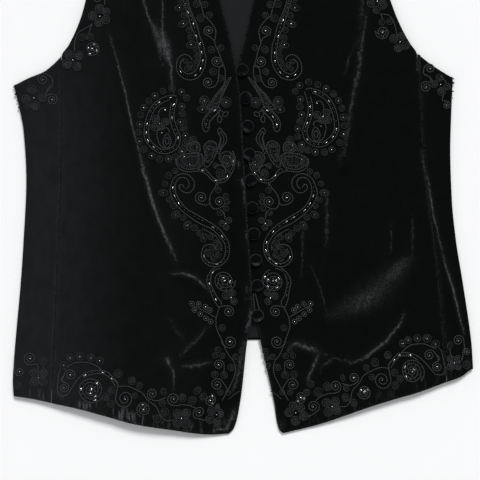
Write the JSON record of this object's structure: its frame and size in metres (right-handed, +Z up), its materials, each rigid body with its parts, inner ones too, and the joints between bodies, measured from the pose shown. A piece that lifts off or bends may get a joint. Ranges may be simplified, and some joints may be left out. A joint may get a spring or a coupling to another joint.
{
  "type": "embroidered velvet waistcoat",
  "caption": "Sleeveless V-necked velvet waistcoat laid flat and buttoned up, with pointed fronts, side panels, covered buttons, cord loops and corded embroidery.",
  "frame": {"origin": "centre of the bounding box in plan, at the surface that the waistcoat lies on", "axes": "+Y along the centre back from hem to neck, +X towards the wearer's left, +Z up from the surface"},
  "size_m": [0.5008, 0.6391, 0.0113],
  "materials": {
    "velvet": "black pile velvet with a soft grey sheen",
    "lining": "dark grey plain lining cloth",
    "covered_button": "velvet over a domed mould",
    "loop_cord": "black satin cord",
    "thread": "silver grey couched cord",
    "bead": "small silver-lined glass bugle beads"
  },
  "bodies": {
    "root": {"back": "velvet", "right_front": "velvet", "left_front": "velvet", "right_side": "velvet", "left_side": "velvet", "back_lining": "lining", "button_01": "covered_button", "button_02": "covered_button", "button_03": "covered_button", "button_04": "covered_button", "button_05": "covered_button", "button_06": "covered_button", "button_07": "covered_button", "button_08": "covered_button", "button_09": "covered_button", "button_10": "covered_button", "loop_01": "loop_cord", "loop_02": "loop_cord", "loop_03": "loop_cord", "loop_04": "loop_cord", "loop_05": "loop_cord", "loop_06": "loop_cord", "loop_07": "loop_cord", "loop_08": "loop_cord", "loop_09": "loop_cord", "loop_10": "loop_cord"}
  },
  "joints": []
}
